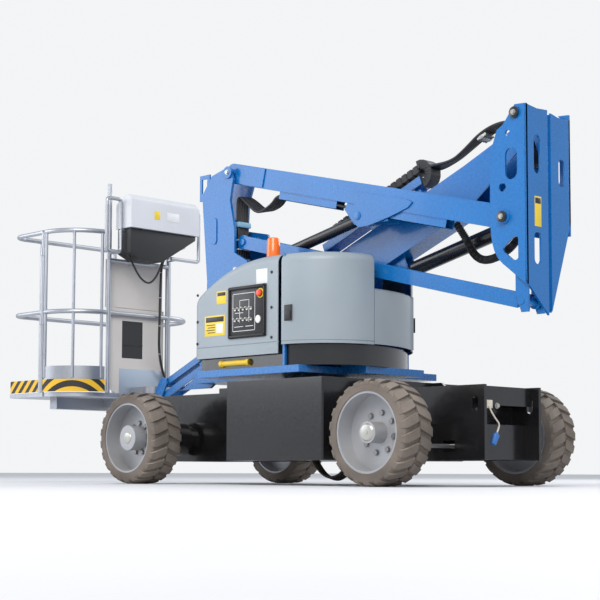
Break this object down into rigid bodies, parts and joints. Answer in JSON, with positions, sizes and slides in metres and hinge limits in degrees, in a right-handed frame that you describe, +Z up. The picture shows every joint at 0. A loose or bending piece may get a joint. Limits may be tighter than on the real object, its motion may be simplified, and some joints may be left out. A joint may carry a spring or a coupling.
{
  "type": "articulating boom lift",
  "caption": "Self-propelled articulating boom lift: wheeled chassis, swinging turntable, folding linkage, primary boom, jib and a railed platform with a curved corner gate.",
  "frame": {"origin": "centre of the footprint on the ground, under the middle of the overall length and width", "axes": "+X towards the platform, +Y to the left of the machine, +Z up"},
  "size_m": [4.281, 1.47, 2.0599],
  "materials": {
    "boom_blue": "gloss",
    "frame_black": "gloss",
    "cover_grey": "satin",
    "galvanised": "satin",
    "steel": "satin",
    "chrome_rod": "polished",
    "cylinder_black": "gloss",
    "tyre": "matt",
    "rim_grey": "satin",
    "amber": "gloss",
    "black_plastic": "matt"
  },
  "bodies": {
    "chassis": {"chassis_frame": "frame_black", "steer_frame": "frame_black", "drive_axle": "frame_black", "steer_axle": "frame_black", "battery_box_left": "frame_black", "battery_box_right": "frame_black"},
    "turntable": {"turntable_base": "boom_blue", "riser": "boom_blue", "front_cover_left": "cover_grey", "front_cover_right": "cover_grey", "beacon": "amber"},
    "tail_cover_left": {"tail_cover_left": "cover_grey"},
    "tail_cover_right": {"tail_cover_right": "cover_grey"},
    "tie_rod": {"tie_rod": "steel"},
    "secondary_arm": {"secondary_arm": "boom_blue"},
    "lower_link": {"lower_link": "boom_blue"},
    "upright": {"upright": "boom_blue"},
    "lift_barrel": {"lift_barrel": "cylinder_black"},
    "lift_rod": {"lift_rod": "chrome_rod"},
    "primary_boom": {"primary_boom": "boom_blue"},
    "fly_boom": {"fly_boom": "boom_blue"},
    "boom_barrel": {"boom_barrel": "cylinder_black"},
    "boom_rod": {"boom_rod": "chrome_rod"},
    "jib_head": {"jib_head": "boom_blue"},
    "jib_arm": {"jib_arm": "boom_blue"},
    "jib_link": {"jib_link": "boom_blue"},
    "jib_barrel": {"jib_barrel": "cylinder_black"},
    "jib_rod": {"jib_rod": "chrome_rod"},
    "support": {"support": "boom_blue"},
    "platform": {"platform_floor": "galvanised", "platform_frame": "galvanised", "control_box": "black_plastic"},
    "gate": {"gate": "galvanised"},
    "drive_wheel_left": {"drive_tyre_left": "tyre", "drive_rim_left": "rim_grey"},
    "knuckle_left": {"knuckle_left": "steel"},
    "steer_wheel_left": {"steer_tyre_left": "tyre", "steer_rim_left": "rim_grey"},
    "drive_wheel_right": {"drive_tyre_right": "tyre", "drive_rim_right": "rim_grey"},
    "knuckle_right": {"knuckle_right": "steel"},
    "steer_wheel_right": {"steer_tyre_right": "tyre", "steer_rim_right": "rim_grey"}
  },
  "joints": [
    {"name": "drive_spin_left", "type": "hinge", "parent": "chassis", "child": "drive_wheel_left", "pos_m": [0.4905, 0.624, 0.28], "axis": [0, 1, 0], "continuous": true},
    {"name": "drive_spin_right", "type": "hinge", "parent": "chassis", "child": "drive_wheel_right", "pos_m": [0.4905, -0.624, 0.28], "axis": [0, 1, 0], "continuous": true},
    {"name": "steer_left", "type": "hinge", "parent": "chassis", "child": "knuckle_left", "pos_m": [-1.5095, 0.452, 0.28], "axis": [0, 0, 1], "range_deg": [-32, 32]},
    {"name": "steer_spin_left", "type": "hinge", "parent": "knuckle_left", "child": "steer_wheel_left", "pos_m": [-1.5095, 0.624, 0.28], "axis": [0, 1, 0], "continuous": true},
    {"name": "steer_right", "type": "hinge", "parent": "chassis", "child": "knuckle_right", "pos_m": [-1.5095, -0.452, 0.28], "axis": [0, 0, 1], "range_deg": [-32, 32]},
    {"name": "steer_spin_right", "type": "hinge", "parent": "knuckle_right", "child": "steer_wheel_right", "pos_m": [-1.5095, -0.624, 0.28], "axis": [0, 1, 0], "continuous": true},
    {"name": "tie_rod_pin", "type": "hinge", "parent": "knuckle_left", "child": "tie_rod", "pos_m": [-1.6595, 0.452, 0.214], "axis": [0, 0, 1], "range_deg": [-32, 32]},
    {"name": "swing", "type": "hinge", "parent": "chassis", "child": "turntable", "pos_m": [-0.4095, 0, 0.628], "axis": [0, 0, 1], "range_deg": [-200, 200]},
    {"name": "tail_cover_left_hinge", "type": "hinge", "parent": "turntable", "child": "tail_cover_left", "pos_m": [-0.7655, 0.6, 0.79], "axis": [0, 0, -1], "range_deg": [0, 100]},
    {"name": "tail_cover_right_hinge", "type": "hinge", "parent": "turntable", "child": "tail_cover_right", "pos_m": [-0.7655, -0.43041, 0.79], "axis": [0, 0, 1], "range_deg": [0, 100]},
    {"name": "secondary_arm", "type": "hinge", "parent": "turntable", "child": "secondary_arm", "pos_m": [0.1605, 0.11, 1.951], "axis": [0, 1, 0], "range_deg": [0, 60]},
    {"name": "lower_link", "type": "hinge", "parent": "turntable", "child": "lower_link", "pos_m": [0.0655, 0.11, 1.503], "axis": [0, 1, 0], "range_deg": [0, 60]},
    {"name": "upright", "type": "hinge", "parent": "secondary_arm", "child": "upright", "pos_m": [-1.9945, 0.11, 1.406], "axis": [0, 1, 0], "range_deg": [-60, 0]},
    {"name": "lift_barrel", "type": "hinge", "parent": "secondary_arm", "child": "lift_barrel", "pos_m": [-0.9295, 0.11, 1.545], "axis": [0, 1, 0], "range_deg": [-14.16, 1]},
    {"name": "lift_rod", "type": "slide", "parent": "lift_barrel", "child": "lift_rod", "axis": [0.9785, 0, -0.2063], "range_m": [0, 0.5608]},
    {"name": "primary_boom", "type": "hinge", "parent": "upright", "child": "primary_boom", "pos_m": [-2.0695, -0.08, 1.948], "axis": [0, -1, 0], "range_deg": [0, 95]},
    {"name": "boom_barrel", "type": "hinge", "parent": "primary_boom", "child": "boom_barrel", "pos_m": [-1.08302, -0.08, 1.23026], "axis": [0, 1, 0], "range_deg": [-1, 12.2]},
    {"name": "boom_rod", "type": "slide", "parent": "boom_barrel", "child": "boom_rod", "axis": [-0.9731, 0, 0.2305], "range_m": [0, 0.7212]},
    {"name": "boom_extend", "type": "slide", "parent": "primary_boom", "child": "fly_boom", "axis": [0.9278, 0, -0.373], "range_m": [0, 0.8]},
    {"name": "platform_level", "type": "hinge", "parent": "fly_boom", "child": "jib_head", "pos_m": [-0.1112, -0.08, 1.05515], "axis": [0, -1, 0], "range_deg": [-95, 0]},
    {"name": "jib", "type": "hinge", "parent": "jib_head", "child": "jib_arm", "pos_m": [-0.0145, -0.08, 1.13], "axis": [0, -1, 0], "range_deg": [0, 60]},
    {"name": "jib_link", "type": "hinge", "parent": "jib_head", "child": "jib_link", "pos_m": [0.0255, -0.08, 1.03], "axis": [0, -1, 0], "range_deg": [0, 60]},
    {"name": "support", "type": "hinge", "parent": "jib_arm", "child": "support", "pos_m": [1.0505, -0.08, 0.675], "axis": [0, -1, 0], "range_deg": [-60, 0]},
    {"name": "jib_barrel", "type": "hinge", "parent": "jib_head", "child": "jib_barrel", "pos_m": [0.0905, -0.08, 0.905], "axis": [0, 1, 0], "range_deg": [-63.25, 1]},
    {"name": "jib_rod", "type": "slide", "parent": "jib_barrel", "child": "jib_rod", "axis": [0.9758, 0, -0.2187], "range_m": [0, 0.2567]},
    {"name": "platform_turn", "type": "hinge", "parent": "support", "child": "platform", "pos_m": [1.2405, -0.08, 0.6], "axis": [0, 0, 1], "range_deg": [-90, 90]},
    {"name": "gate_hinge", "type": "hinge", "parent": "platform", "child": "gate", "pos_m": [1.7575, 0.489, 0.612], "axis": [0, 0, 1], "range_deg": [0, 75]}
  ],
  "couplings": [
    {"joint": "steer_right", "follows": "steer_left", "ratio": 1},
    {"joint": "tie_rod_pin", "follows": "steer_left", "ratio": -1},
    {"joint": "lower_link", "follows": "secondary_arm", "ratio": 1},
    {"joint": "upright", "follows": "secondary_arm", "ratio": -1},
    {"joint": "lift_barrel", "follows": "secondary_arm", "ratio": -0.21929},
    {"joint": "lift_rod", "follows": "secondary_arm", "m_per_rad": 0.52595},
    {"joint": "boom_barrel", "follows": "primary_boom", "ratio": 0.11787},
    {"joint": "boom_rod", "follows": "primary_boom", "m_per_rad": 0.42892},
    {"joint": "platform_level", "follows": "primary_boom", "ratio": -1},
    {"joint": "jib_link", "follows": "jib", "ratio": 1},
    {"joint": "support", "follows": "jib", "ratio": -1},
    {"joint": "jib_barrel", "follows": "jib", "ratio": -1.0375},
    {"joint": "jib_rod", "follows": "jib", "m_per_rad": 0.23561}
  ]
}
